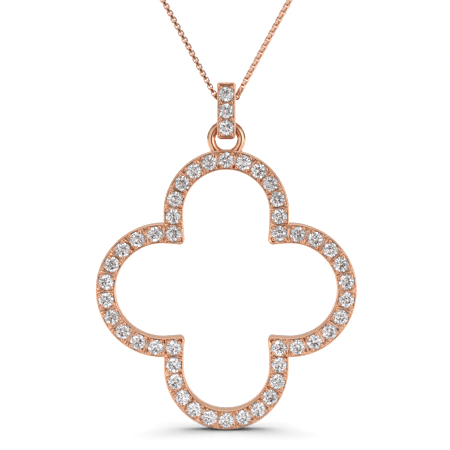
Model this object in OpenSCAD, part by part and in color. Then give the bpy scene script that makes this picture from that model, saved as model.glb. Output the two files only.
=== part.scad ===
// Open clover drop pendant set with round brilliants, on a bail and a fine chain, in millimetres.
// +Z is up, the stones face -Y, and the origin is where the chain lies at the nape of the neck.

/* [Clover] */
// Width of the band of metal, seen from the front
band_w = 1.66; // [1.62:0.01:1.72]
// Depth of the band from front to back
band_depth = 1.6; // [1.5:0.05:1.8]
// Radius of the upper and lower lobes, to the middle of the band
tall_r = 4.42; // [4.38:0.01:4.46]
// Height of those lobes' centres above and below the clover's centre
tall_centre = 6.54; // [6.5:0.01:6.6]
// Radius of the left and right lobes, to the middle of the band
wide_r = 4.81; // [4.77:0.01:4.86]
// Distance of those lobes' centres from the clover's centre
wide_centre = 5.3; // [5.25:0.01:5.35]
// How far each of the four inner feet stands past the straight edges beside it
foot_flare = 0.11; // [0.08:0.01:0.14]
// Rounding at the tip of each inner foot
foot_r = 0.42; // [0.36:0.01:0.46]

/* [Stones] */
// Diameter of the stones on the clover
stone_d = 1.3; // [1.26:0.01:1.3]
// Diameter of the stones on the bail
bail_stone_d = 1.25; // [1.2:0.01:1.25]
// Stones between two corners on the upper and the lower lobe
tall_count = 11; // [10:1:11]
// Stones between two corners on the left and the right lobe
wide_count = 10; // [9:1:10]
// Gap between a stone and the wall of its seat
seat_gap = 0.02; // [0.01:0.005:0.02]
// Radius of the small beads of metal that hold the stones
bead_r = 0.12; // [0.10:0.01:0.12]

/* [Ring] */
// Thickness of the ring's round wire
ring_wire = 0.73; // [0.68:0.01:0.74]
// Radius of the ring, to the middle of its wire
ring_r = 1.253; // [1.25:0.001:1.27]

/* [Bail] */
// Width of the bail, seen from the front
bail_w = 1.55; // [1.5:0.01:1.56]
// Height of the bail's front plate
bail_h = 4.73; // [4.7:0.01:4.8]
// Distance of the bail's front face from its hollow's middle
bail_front = 1.3; // [1.28:0.01:1.32]
// Half the width of the hollow from front to back
hollow_r = 0.65; // [0.64:0.01:0.66]
// Distance of the bail's back from its hollow's middle
bail_back = 1.1; // [1.0:0.01:1.15]
// Height of the plate's top above the chain
bail_above_chain = 1.35; // [1.3:0.01:1.4]
// Room above the chain's middle inside the bail
chain_room = 0.5; // [0.45:0.01:0.5]
// Rounding of the plate's lower front edge, which leaves room for the ring to swing
heel_r = 0.6; // [0.58:0.01:0.62]
// Rounding of the plate's corners, seen from the front
bail_corner_r = 0.2; // [0.15:0.01:0.25]

/* [Chain and clasp] */
// Width of the chain
chain_d = 0.5; // [0.4:0.05:0.5]
// Radius of the clasp's ring, to the middle of its wire
clasp_r = 2.05; // [1.8:0.05:2.2]
// Thickness of the clasp's wire
clasp_wire = 0.9; // [0.8:0.05:0.9]
// Radius of each small loop at the clasp's sides, to the middle of its wire
loop_r = 0.6; // [0.55:0.01:0.62]
// Thickness of those loops' wire
loop_wire = 0.4; // [0.35:0.01:0.42]

/* [Hidden] */
rose_gold = "#d9946f";
diamond = "#e6ebf2";
round_fn = 64;
// Overlap that lets a cut pass its face, and two solids join
over = 0.2;

// Places up and down the pendant, measured from the chain's middle inside the bail
bail_to_chain = [0, -75.5, -109];
bail_top = bail_above_chain;
bail_bottom = bail_top - bail_h;
plate_middle = (bail_top + bail_bottom) / 2;
hollow_top = chain_room - hollow_r;
hollow_bottom = -2.38;
swing_centre = hollow_bottom;
ring_centre = swing_centre - 1.02;
half_band = band_w / 2;
// How far the ring's hole reaches below the clover's top edge, where the two are soldered
ring_sink = 0.028;
clover_centre = ring_centre - (ring_r - ring_wire / 2) + ring_sink - (tall_centre + tall_r + half_band);

// The route of the chain's right half, measured from the origin: across the bail, straight up to the
// side of the neck, round it and back to the clasp at the nape. Columns: side, back, up
route = [
    [0.00, -75.5, -109.00],
    [0.35, -75.5, -109.00],
    [0.62, -75.5, -108.95],
    [0.86, -75.5, -108.81],
    [1.05, -75.5, -108.58],
    [3.0, -75.5, -105.0],
    [6.0, -75.5, -99.5],
    [10, -75.5, -92.2],
    [15, -75.5, -83.1],
    [20, -75.5, -74.0],
    [25, -75.5, -64.8],
    [30, -75.5, -55.7],
    [35, -75.5, -46.6],
    [40, -75.5, -37.4],
    [45, -75.5, -28.3],
    [50, -75.5, -19.1],
    [53.3, -75.5, -13.1],
    [55.2, -75.0, -9.7],
    [56.9, -73.5, -6.6],
    [58.4, -71.1, -3.9],
    [59.5, -68.0, -1.8],
    [60.2, -64.4, -0.5],
    [60.5, -60.5, 0],
    [60.0, -52.6, 0],
    [58.4, -44.8, 0],
    [55.9, -37.3, 0],
    [52.4, -30.2, 0],
    [48.0, -23.7, 0],
    [42.8, -17.7, 0],
    [36.8, -12.5, 0],
    [30.2, -8.1, 0],
    [23.1, -4.6, 0],
    [15.7, -2.1, 0],
    [7.9, -0.5, 0],
    [3.95, -0.15, 0]
];
// A point inside the loop that keeps the tube's rings from twisting
loop_middle = [0, -40, -20];

// Cut stone: shares of the girdle's radius for a round brilliant
table_share = 0.57;
crown_share = 0.30;
star_share = 0.76;
girdle_share = 0.06;
pavilion_share = 0.86;
junction_share = 0.25;
// Depth of a stone's girdle below the face, and the open hole behind its point
girdle_sink = 0.02;
light_hole_r = 0.3;
light_hole_bail_r = 0.25;
seat_cone = 0.5;

// Beads beside each stone: along the band and across it, nearer together on the inner side
bead_inner = [0.45, -0.66];
bead_outer = [0.56, 0.61];
bead_corner = [0.58, 0.58];
bead_sink = 0.03;
// Grooves across the band between two stones
groove_w = 0.15;
// Beads on the bail's plate: from its middle, past the end stones and between two stones
bail_bead_side = 0.46;
bail_bead_end = 0.66;
bail_pitch = 1.38;
bail_rows = [1, 0, -1];

// Length of the flare towards an inner foot's tip
foot_run = 1.5;
// The corner where two lobes meet is as far across as one lobe's radius and as high as the other's
corner = [tall_r, wide_r];
face = band_depth / 2;

function lobe_length(r, centre, start) = 2 * (centre - start) + PI * r;

// A place s along a lobe that opens to the right, as [across, up, heading in degrees]
function lobe_place(r, centre, start, s) =
    let (leg = centre - start, arc = PI * r)
    s <= leg ? [start + s, r, 0]
    : s >= leg + arc ? [centre - (s - leg - arc), -r, 180]
    : let (turn = (s - leg) / r * 180 / PI)
      [centre + r * sin(turn), r * cos(turn), -turn];

function turned(place, by) =
    [place[0] * cos(by) - place[1] * sin(by), place[0] * sin(by) + place[1] * cos(by), place[2] + by];

// Places spread evenly along one lobe: step 1 is a whole pitch, and first and last are in pitches
function lobe_places(r, centre, start, count, by, first, last) =
    let (pitch = lobe_length(r, centre, start) / (count + 1))
    [for (k = [first:1:last]) turned(lobe_place(r, centre, start, k * pitch), by)];

function tall_places(first, last) =
    [for (by = [90, 270]) each lobe_places(tall_r, tall_centre, corner[1], tall_count, by, first, last)];
function wide_places(first, last) =
    [for (by = [0, 180]) each lobe_places(wide_r, wide_centre, corner[0], wide_count, by, first, last)];

corner_places = [for (side = [1, -1], up = [1, -1]) [side * corner[0], up * corner[1], 0]];
lobe_stone_places = concat(tall_places(1, tall_count), wide_places(1, wide_count));
stone_places = concat(lobe_stone_places, corner_places);
groove_places = concat(tall_places(0.5, tall_count + 0.5), wide_places(0.5, wide_count + 0.5));

// Puts a module drawn in the front view, with its third axis towards the viewer, on the pendant
module on_front(up) {
    translate(bail_to_chain + [0, 0, up]) rotate([90, 0, 0]) children();
}

module at_place(place) {
    translate([place[0], place[1], 0]) rotate(place[2]) children();
}

// Two equal circles and the straight sides between them
module stadium(r, from, to) {
    translate(from) circle(r, $fn = round_fn);
    translate(to) circle(r, $fn = round_fn);
    along = to - from;
    translate([min(from[0], to[0]) - (along[1] == 0 ? 0 : r), min(from[1], to[1]) - (along[0] == 0 ? 0 : r)])
        square([abs(along[0]) + (along[1] == 0 ? 0 : 2 * r), abs(along[1]) + (along[0] == 0 ? 0 : 2 * r)]);
}

// The clover's outline at a distance from the middle of its band
module clover_outline(out) {
    stadium(tall_r + out, [0, -tall_centre], [0, tall_centre]);
    stadium(wide_r + out, [-wide_centre, 0], [wide_centre, 0]);
}

// One inner foot: the band flares a little towards a rounded tip
module inner_foot() {
    edge = corner - [half_band, half_band];
    tip = edge - [foot_flare, foot_flare];
    middle = tip + [foot_r, foot_r];
    translate(middle) circle(foot_r, $fn = round_fn);
    polygon([
        [middle[0], tip[1]],
        [middle[0] + foot_run, edge[1]],
        [middle[0] + foot_run, edge[1] + over],
        middle + [over, over],
        [edge[0] + over, middle[1] + foot_run],
        [edge[0], middle[1] + foot_run],
        [tip[0], middle[1]]
    ]);
}

module clover_band() {
    linear_extrude(band_depth, center = true) {
        difference() {
            clover_outline(half_band);
            clover_outline(-half_band);
        }
        for (side = [1, -1], up = [1, -1]) scale([side, up]) inner_foot();
    }
}

// What a stone's seat takes out of the metal: a straight collar, a cone and the hole behind it
module seat(r, hole_r, depth) {
    collar = girdle_sink + girdle_share * r + seat_gap;
    rotate_extrude($fn = round_fn)
        polygon([
            [0, over],
            [r + seat_gap, over],
            [r + seat_gap, -collar],
            [hole_r, -collar - seat_cone],
            [hole_r, -depth - over],
            [0, -depth - over]
        ]);
}

module groove() {
    edge = groove_w / sqrt(2);
    rotate([45, 0, 90]) cube([band_w + over, edge, edge], center = true);
}

// A pair of beads, one on each side of a stone
module bead_pair(bead) {
    for (side = [1, -1])
        translate([side * bead[0], bead[1], face - bead_sink]) sphere(bead_r, $fn = round_fn);
}

// The ring stands on the clover's top, and its lowest part is soldered into the band
module top_ring() {
    translate([0, ring_centre - clover_centre, 0])
        rotate_extrude($fn = round_fn) translate([ring_r, 0]) circle(ring_wire / 2, $fn = round_fn);
}

module clover_frame() {
    color(rose_gold) on_front(clover_centre) {
        difference() {
            union() {
                clover_band();
                top_ring();
            }
            for (place = stone_places)
                at_place(place) translate([0, 0, face]) seat(stone_d / 2, light_hole_r, band_depth);
            for (place = groove_places) at_place(place) translate([0, 0, face]) groove();
        }
        for (place = lobe_stone_places) at_place(place) {
            bead_pair(bead_inner);
            bead_pair(bead_outer);
        }
        for (place = corner_places, up = [1, -1])
            at_place(place) bead_pair([bead_corner[0], up * bead_corner[1]]);
    }
}

// The corners of a ring of points around a stone, with an offset in steps of 22.5 degrees
function around(r, up, count, offset) =
    [for (k = [0:count - 1]) let (a = 360 / count * k + 22.5 * offset) [r * cos(a), r * sin(a), up]];

// A facet plane that faces a multiple of 45 degrees falls from one radius and height to another
function on_slope(p, from, to) = from[1] + (to[1] - from[1]) * (p - from[0]) / (to[0] - from[0]);

// Round brilliant: a table, 8 stars, 8 kites, 16 upper and 16 lower halves, and 8 pavilion mains
module brilliant(d) {
    r = d / 2;
    crown = [[table_share * r, crown_share * r], [r, 0]];
    pavilion = [[0, -(girdle_share + pavilion_share) * r], [r, -girdle_share * r]];
    star_up = on_slope(star_share * r * cos(22.5), crown[0], crown[1]);
    junction_up = on_slope(junction_share * r * cos(22.5), pavilion[0], pavilion[1]);
    points = concat(
        around(table_share * r, crown_share * r, 8, 0),
        around(star_share * r, star_up, 8, 1),
        around(r, 0, 16, 0),
        around(r, -girdle_share * r, 16, 0),
        around(junction_share * r, junction_up, 8, 1),
        [[0, 0, pavilion[0][1]]]
    );
    star = 8;
    upper = 16;
    lower = 32;
    junction = 48;
    point = 56;
    facets = concat(
        [[for (k = [7:-1:0]) k]],
        [for (k = [0:7]) [k, (k + 1) % 8, star + k]],
        [for (k = [0:7]) [k, star + k, upper + 2 * k, star + (k + 7) % 8]],
        [for (k = [0:7]) [star + k, upper + 2 * k + 1, upper + 2 * k]],
        [for (k = [0:7]) [star + k, upper + (2 * k + 2) % 16, upper + 2 * k + 1]],
        [for (k = [0:15]) [upper + k, upper + (k + 1) % 16, lower + (k + 1) % 16, lower + k]],
        [for (k = [0:7]) [lower + 2 * k, lower + 2 * k + 1, junction + k]],
        [for (k = [0:7]) [lower + 2 * k + 1, lower + (2 * k + 2) % 16, junction + k]],
        [for (k = [0:7]) [lower + 2 * k, junction + k, point, junction + (k + 7) % 8]]
    );
    translate([0, 0, -girdle_sink]) polyhedron(points, facets);
}

module clover_stones() {
    color(diamond) on_front(clover_centre)
        for (place = stone_places) at_place(place) translate([0, 0, face]) brilliant(stone_d);
}

// The bail's side view, with its front to the left: a plate in front of a loop that goes over the chain
module bail_side() {
    difference() {
        union() {
            stadium(bail_back, [0, bail_bottom + bail_back], [0, hollow_top]);
            translate([-bail_front, bail_bottom + heel_r])
                square([bail_front - hollow_r, bail_h - heel_r]);
            translate([-bail_front + heel_r, bail_bottom + heel_r]) circle(heel_r, $fn = round_fn);
            translate([-bail_front + heel_r, bail_bottom]) square([bail_front - heel_r, heel_r]);
        }
        stadium(hollow_r, [0, hollow_bottom], [0, hollow_top]);
    }
}

module rounded_rectangle(w, h, r) {
    square([w - 2 * r, h], center = true);
    square([w, h - 2 * r], center = true);
    for (side = [1, -1], up = [1, -1])
        translate([side * (w / 2 - r), up * (h / 2 - r)]) circle(r, $fn = round_fn);
}

// Places of the bail's beads, as [across, up] from the plate's middle
bail_bead_rows = [bail_pitch + bail_bead_end, bail_pitch / 2, -bail_pitch / 2, -bail_pitch - bail_bead_end];
bail_bead_places = [for (side = [1, -1], up = bail_bead_rows) [side * bail_bead_side, up]];

module bail() {
    color(rose_gold) {
        difference() {
            intersection() {
                translate(bail_to_chain) rotate([90, 0, 90])
                    linear_extrude(bail_w, center = true) bail_side();
                on_front(plate_middle)
                    linear_extrude(4 * bail_front, center = true)
                        rounded_rectangle(bail_w, bail_h, bail_corner_r);
            }
            for (row = bail_rows)
                on_front(plate_middle + row * bail_pitch) translate([0, 0, bail_front])
                    seat(bail_stone_d / 2, light_hole_bail_r, bail_front - hollow_r);
        }
        on_front(plate_middle)
            for (bead = bail_bead_places)
                translate([bead[0], bead[1], bail_front - bead_sink]) sphere(bead_r, $fn = round_fn);
    }
}

module bail_stone(row) {
    color(diamond) on_front(plate_middle + row * bail_pitch)
        translate([0, 0, bail_front]) brilliant(bail_stone_d);
}

function unit(v) = v / norm(v);

// The direction of the route at a point, from its neighbours
function heading(k) = unit(route[min(k + 1, len(route) - 1)] - route[max(k - 1, 0)]);

// Half of the chain as a plain tube of its own width, swept along the route with eight sides
module chain_half() {
    sides = 8;
    last = len(route) - 1;
    points = [for (k = [0:last])
        let (
            along = k == 0 ? [1, 0, 0] : heading(k),
            across = unit(cross(along, loop_middle - route[k])),
            out = cross(along, across)
        )
        each [for (s = [0:sides - 1]) let (a = 360 / sides * (s + 0.5))
            route[k] + chain_d / 2 * (cos(a) * across + sin(a) * out)]];
    walls = [for (k = [0:last - 1], s = [0:sides - 1])
        let (n = (s + 1) % sides)
        [k * sides + s, (k + 1) * sides + s, (k + 1) * sides + n, k * sides + n]];
    ends = [[for (s = [0:sides - 1]) s], [for (s = [sides - 1:-1:0]) last * sides + s]];
    polyhedron(points, concat(walls, ends));
}

module chain_right() {
    color(rose_gold) chain_half();
}

module chain_left() {
    color(rose_gold) mirror([1, 0, 0]) chain_half();
}

// A plain ring with a small loop at each side for the chain's ends
module clasp() {
    reach = clasp_r + clasp_wire / 2 + loop_r - 0.05;
    color(rose_gold) rotate([90, 0, 0]) {
        rotate_extrude($fn = round_fn) translate([clasp_r, 0]) circle(clasp_wire / 2, $fn = round_fn);
        for (side = [1, -1])
            translate([side * reach, 0, 0])
                rotate_extrude($fn = round_fn) translate([loop_r, 0]) circle(loop_wire / 2, $fn = round_fn);
    }
}

chain_left();
chain_right();
clasp();
bail();
bail_stone(1);  // bail_stone_top
bail_stone(0);  // bail_stone_middle
bail_stone(-1);  // bail_stone_bottom
clover_frame();
clover_stones();
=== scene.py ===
"""Looks for the open clover drop pendant: rose gold, bead-set brilliants, a bail and a fine box chain."""

import math

import bmesh
import bpy
import numpy as np
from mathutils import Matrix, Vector


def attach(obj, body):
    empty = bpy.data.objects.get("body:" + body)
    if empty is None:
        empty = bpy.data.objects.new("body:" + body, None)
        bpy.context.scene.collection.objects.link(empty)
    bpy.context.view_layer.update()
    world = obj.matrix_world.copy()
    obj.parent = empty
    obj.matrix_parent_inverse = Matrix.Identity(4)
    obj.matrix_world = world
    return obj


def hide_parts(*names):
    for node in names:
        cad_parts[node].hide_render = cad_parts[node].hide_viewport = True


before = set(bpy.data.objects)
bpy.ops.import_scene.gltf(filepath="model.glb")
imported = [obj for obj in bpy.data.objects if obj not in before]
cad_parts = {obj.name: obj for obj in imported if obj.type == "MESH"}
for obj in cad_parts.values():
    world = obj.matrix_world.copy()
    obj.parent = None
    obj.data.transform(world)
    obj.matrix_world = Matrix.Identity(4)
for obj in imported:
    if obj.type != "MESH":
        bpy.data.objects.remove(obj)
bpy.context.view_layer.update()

MM = 0.001

# Sizes in millimetres, as in the part's source, with heights from the chain in the bail
BAND_W, BAND_DEPTH = 1.66, 1.6
# Upper and lower lobes, then side lobes: radius, how far out their middle lies, and number of stones
TALL_R, TALL_CENTRE, TALL_COUNT = 4.42, 6.54, 11
WIDE_R, WIDE_CENTRE, WIDE_COUNT = 4.81, 5.3, 10
FOOT_FLARE, FOOT_R = 0.11, 0.42
STONE_D, BAIL_STONE_D = 1.3, 1.25
RING_WIRE, RING_R = 0.73, 1.253
BAIL_W, BAIL_H = 1.55, 4.73
BAIL_FRONT, BAIL_BACK, HOLLOW_R = 1.3, 1.1, 0.65
HEEL_R, BAIL_PITCH = 0.6, 1.38
CHAIN_IN_BAIL = (0.0, -75.5, -109.0)
BAIL_TOP = 1.35
HOLLOW_TOP, HOLLOW_BOTTOM = -0.15, -2.38
RING_CENTRE = -3.4
CLOVER_CENTRE = -16.05
HALF_BAND = BAND_W / 2
FACE = BAND_DEPTH / 2
CORNER = (TALL_R, WIDE_R)
BAIL_BOTTOM = BAIL_TOP - BAIL_H
PLATE_MIDDLE = (BAIL_TOP + BAIL_BOTTOM) / 2

# The route of the chain's right half: side, back, up
ROUTE = [
    (0.00, -75.5, -109.00), (0.35, -75.5, -109.00), (0.62, -75.5, -108.95), (0.86, -75.5, -108.81),
    (1.05, -75.5, -108.58), (3.0, -75.5, -105.0), (6.0, -75.5, -99.5), (10, -75.5, -92.2),
    (15, -75.5, -83.1), (20, -75.5, -74.0), (25, -75.5, -64.8), (30, -75.5, -55.7),
    (35, -75.5, -46.6), (40, -75.5, -37.4), (45, -75.5, -28.3), (50, -75.5, -19.1),
    (53.3, -75.5, -13.1), (55.2, -75.0, -9.7), (56.9, -73.5, -6.6), (58.4, -71.1, -3.9),
    (59.5, -68.0, -1.8), (60.2, -64.4, -0.5), (60.5, -60.5, 0), (60.0, -52.6, 0),
    (58.4, -44.8, 0), (55.9, -37.3, 0), (52.4, -30.2, 0), (48.0, -23.7, 0),
    (42.8, -17.7, 0), (36.8, -12.5, 0), (30.2, -8.1, 0), (23.1, -4.6, 0),
    (15.7, -2.1, 0), (7.9, -0.5, 0), (4.45, -0.18, 0),
]
LINK_PITCH, LINK_W, LINK_LENGTH = 0.315, 0.5, 0.56
LINK_THICK, LINK_BREADTH = 0.105, 0.27
# The right leg hangs turned about itself by so many degrees, gained over so many links
RIGHT_ROLL, ROLL_RUN = 64, 7.0
# The small ring between the clasp's loop and the last link: near and far points, side and back, and wire
END_RING_NEAR, END_RING_FAR, END_RING_WIRE = (3.31, -0.02), (4.703, -0.196), 0.17
LEFT_TILT, RIGHT_TILT = 0, 22

# Rim of the setting: its rounding, its flat top, and where the slope to the sunk, dished floor ends
RIM_ROUND, RIM_FLAT, RIM_END = 0.12, 0.13, 0.17
FLOOR_SINK, DISH, DISH_END = 0.05, 0.06, 0.45
# Cuts between stones: half their width at the rim and inside, and their depth
GROOVE_RIM, GROOVE_INSIDE, GROOVE_DEPTH = 0.045, 0.11, 0.08
# The stretches from the rim inwards over which a cut widens, begins, and grows shallow again
CUT_WIDENS, CUT_BEGINS, CUT_FADES = (0.12, 0.4), (0.12, 0.2), (0.45, 0.65)
# The height of the small facets that the graver leaves on the floor
FACET = 0.02
# The seat: its gap round the stone, the step at its edge and how far that goes down at least
SEAT_GAP, SEAT_STEP, SEAT_DEEP = 0.005, 0.02, 0.14
# The light hole's radius, and how far below the face it begins
LIGHT_HOLE_R, LIGHT_HOLE_TOP = 0.3, 0.62
# An inner foot begins this far from its corner stone, and spreads over this run
FLARE_START, FLARE_RUN = 1.18, 1.7
# Beads: radius, distance from the stone's middle, and how deep they sit
BEAD_R, BEAD_REACH, BEAD_SINK = 0.18, 0.67, 0.02
# The ring of painted shade round each bead: its radius, its width, and the stretch from the rim where it
# begins
BEAD_SHADE_R, BEAD_SHADE_W, BEAD_SHADE_BEGINS = BEAD_R * 1.05, 0.1, (0.08, 0.16)
# The way to the two inner and the two outer beads of a cell: along the band, and outwards across it
INNER_BEAD, OUTER_BEAD = (0.45, -0.63), (0.53, 0.58)
# How far a stone's widest line lies below the face
STONE_SINK = 0.02
# How much solder thickens the ring's wire, and how far that reaches
SOLDER_SWELL, SOLDER_REACH = 0.1, 0.2
# The bail's corners are rounder below. Its plate turns back over most of the heel's radius, but in the
# front part of its depth only, so that its back rim stays behind the strap's face
UPPER_CORNER_R, LOWER_CORNER_R = 0.22, 0.38
HEEL_SHARE, FRONT_PART = 0.94, 0.7
# How far the bail's beads stand to each side, and their heights over the plate's middle
BAIL_BEAD_SIDE, BAIL_BEAD_ROWS = 0.46, (1.93, 0.69, -0.69, -1.93)
# The strap's rounded edges, and how far its ends lap into the plate
STRAP_EDGE, STRAP_LAP = 0.06, 0.03
# How much painted shade darkens a cut, a bead's ring, the light holes, the heel, the loop's inside and the
# ring's top
CUT_DARK, BEAD_SHADE_DARK, HOLE_DARK, HEEL_DARK, LOOP_DARK, TOP_DARK = 0.9, 0.3, 1.0, 0.7, 0.5, 0.7
# Where the painted shade on the ring begins, over its own middle, and where the heel's begins, below the
# plate's
TOP_DARK_AT, HEEL_DARK_AT = (0.75, 1.15), (2.1, 2.3)


def linear(colour):
    """Turns an sRGB hex colour into linear red, green, blue and alpha."""
    parts = [int(colour[k:k + 2], 16) / 255 for k in (1, 3, 5)]
    return [c / 12.92 if c <= 0.04045 else ((c + 0.055) / 1.055) ** 2.4 for c in parts] + [1.0]


def add(tree, kind, inputs={}, **settings):
    """Adds a node with its settings, and fills its inputs with values or with other nodes' outputs."""
    node = tree.nodes.new(kind)
    for name, value in settings.items():
        setattr(node, name, value)
    for name, value in inputs.items():
        if isinstance(value, bpy.types.NodeSocket):
            tree.links.new(value, node.inputs[name])
        else:
            node.inputs[name].default_value = value
    return node


def smooth(x, low, high):
    """A soft step from 0 at low to 1 at high."""
    t = np.clip((x - low) / (high - low), 0, 1)
    return t * t * (3 - 2 * t)


def unit(v):
    """A direction brought to length 1."""
    return v / np.linalg.norm(v, axis=-1, keepdims=True)


def on_front(points, centre_up):
    """Points given as across, up and out towards the viewer, in millimetres, as places in the frame."""
    p = np.asarray(points, float).reshape(-1, 3)
    place = np.stack([p[:, 0], -p[:, 2], p[:, 1]], 1) + np.array(CHAIN_IN_BAIL) + [0, 0, centre_up]
    return place * MM


def in_scene(name, data):
    """A new object in the scene, at the origin."""
    piece = bpy.data.objects.new(name, data)
    bpy.context.scene.collection.objects.link(piece)
    return piece


def after(faces, count):
    """Faces whose points follow a number of other points."""
    return [tuple(i + count for i in face) for face in faces]


def wrap(first, rings, n):
    """Faces between closed rings of n points each, one ring after another."""
    return [(row + a, row + (a + 1) % n, row + n + (a + 1) % n, row + n + a)
            for row in range(first, first + (rings - 1) * n, n) for a in range(n)]


def new_mesh(name, points, faces, material, sharp=40, painted_shade=None):
    """A closed mesh from points in the frame, with its doubles merged and its faces turned outwards."""
    mesh = bpy.data.meshes.new(name)
    mesh.from_pydata([tuple(p) for p in points], [], faces)
    # A map of painted shade, which darkens the gold's colour in cuts and hollows
    if painted_shade is not None:
        layer = mesh.attributes.new("painted_shade", "FLOAT", "POINT")
        layer.data.foreach_set("value", np.asarray(painted_shade, np.float32))
    shape = bmesh.new()
    shape.from_mesh(mesh)
    bmesh.ops.remove_doubles(shape, verts=shape.verts, dist=1e-6)
    bmesh.ops.dissolve_degenerate(shape, edges=shape.edges, dist=1e-7)
    bmesh.ops.recalc_face_normals(shape, faces=shape.faces)
    # On the smallest shapes that can leave every face pointing in
    if shape.calc_volume(signed=True) < 0:
        bmesh.ops.reverse_faces(shape, faces=shape.faces)
    shape.to_mesh(mesh)
    shape.free()
    for face in mesh.polygons:
        face.use_smooth = True
    mesh.set_sharp_from_angle(angle=math.radians(sharp))
    mesh.materials.append(material)
    return in_scene(name, mesh)


# Materials


def new_material(name):
    """A material with an empty node tree."""
    material = bpy.data.materials.new(name)
    material.use_nodes = True
    material.node_tree.nodes.clear()
    return material, material.node_tree


def polished_gold(name, tint, deep, rough_low, rough_high):
    """Rose gold of 10 karat, polished with rouge: a warm copper-pink mirror with faint lapping marks, and
    painted shade in the cuts and hollows."""
    material, tree = new_material(name)
    place = add(tree, "ShaderNodeTexCoord").outputs["Object"]
    # Soft waves left by polishing, about 0.8 mm long
    waves = add(tree, "ShaderNodeTexNoise", {"Vector": place, "Scale": 1250.0, "Detail": 2.0})
    # Lapping marks of about 0.03 mm, drawn about twice their real width so that they show
    marks = add(tree, "ShaderNodeTexNoise", {"Vector": place, "Scale": 16000.0, "Detail": 3.0})
    # The painted shade map: it mixes the colour towards the deep tone
    painted_shade = add(tree, "ShaderNodeAttribute", attribute_name="painted_shade")
    toned = add(tree, "ShaderNodeMix", {
        0: waves.outputs["Fac"], 6: linear(tint[0]), 7: linear(tint[1])}, data_type="RGBA")
    cut = add(tree, "ShaderNodeMapRange", {"Value": painted_shade.outputs["Fac"], "To Max": 0.9})
    colour = add(tree, "ShaderNodeMix", {
        0: cut.outputs["Result"], 6: toned.outputs[2], 7: linear(deep)}, data_type="RGBA")
    rough = add(tree, "ShaderNodeMapRange", {
        "Value": marks.outputs["Fac"], "From Min": 0.3, "From Max": 0.7,
        "To Min": rough_low, "To Max": rough_high})
    bump = add(tree, "ShaderNodeBump", {
        "Height": waves.outputs["Fac"], "Strength": 0.25, "Distance": 0.00002})
    shader = add(tree, "ShaderNodeBsdfPrincipled", {
        "Base Color": colour.outputs[2], "Metallic": 1.0, "Roughness": rough.outputs["Result"],
        "Normal": bump.outputs["Normal"], "Specular Tint": linear("#f8e8de")})
    add(tree, "ShaderNodeOutputMaterial", {"Surface": shader.outputs[0]})
    return material


def cut_diamond(name):
    """Natural diamond, cut and polished to a mirror: clear, with a very high refractive index, so that it
    returns light from its pavilion."""
    material, tree = new_material(name)
    shader = add(tree, "ShaderNodeBsdfPrincipled", {
        "Base Color": linear("#efeef0"), "Roughness": 0.0, "IOR": 2.417, "Transmission Weight": 1.0})
    add(tree, "ShaderNodeOutputMaterial", {"Surface": shader.outputs[0]})
    return material


# The third colour is the deep tone of the painted shade in cuts and hollows
rose_gold = polished_gold("rose_gold_cast_polished", ("#f0cab0", "#e9bda1"), "#ad683c", 0.06, 0.11)
rose_gold_wire = polished_gold("rose_gold_wire_drawn", ("#f0cab0", "#e8bea2"), "#ad683c", 0.08, 0.14)
diamond = cut_diamond("diamond_brilliant_cut")


# The clover's band, one cell of metal round each stone

# Distances from a cell's outline at which its mesh has points
SIDE_STEPS = [0, 0.018, 0.04, 0.07, 0.11, 0.16, 0.26, 0.4, 0.6]
EDGE_ROWS = np.array(SIDE_STEPS[:6])
# Where a cell is narrower than this, those rows move closer together
FULL_ROWS = 0.24
# Shares of the rest of the way to the seat
SEAT_ROWS = [0.3, 0.6, 0.85, 1.0]
# How many steps an outer edge and each stretch of an inner foot take
EDGE_STEPS, FOOT_STEPS = 16, 11


def lobe_length(r, centre, start):
    """The length of the middle of the band round one lobe, between its two corner stones."""
    return 2 * (centre - start) + math.pi * r


def lobe_point(lobe, s, v):
    """A point a way s along a lobe and v outwards from the middle of its band, seen from the front."""
    r, centre, start, _, by = lobe
    leg, arc_length = centre - start, math.pi * r
    if s <= leg:
        x, y, heading = start + s, r, 0.0
    elif s >= leg + arc_length:
        x, y, heading = centre - (s - leg - arc_length), -r, -math.pi
    else:
        turn = (s - leg) / r
        x, y, heading = centre + r * math.sin(turn), r * math.cos(turn), -turn
    x, y = x - v * math.sin(heading), y + v * math.cos(heading)
    c, d = math.cos(by), math.sin(by)
    return np.array([x * c - y * d, x * d + y * c])


def flare(t):
    """How far an inner foot stands past the straight edge, at a distance t from the corner stone."""
    return FOOT_FLARE * float(np.clip((FLARE_START - t) / FLARE_RUN, 0, 1)) ** 1.6


def side_line(inner, outer):
    """Points across the band between two stones, closer together near the rims."""
    inner, outer = np.array(inner), np.array(outer)
    length = np.linalg.norm(outer - inner)
    shares = [d / length for d in SIDE_STEPS]
    shares += [0.5] + [1 - t for t in reversed(shares)]
    return np.array([inner + (outer - inner) * t for t in shares])


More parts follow.
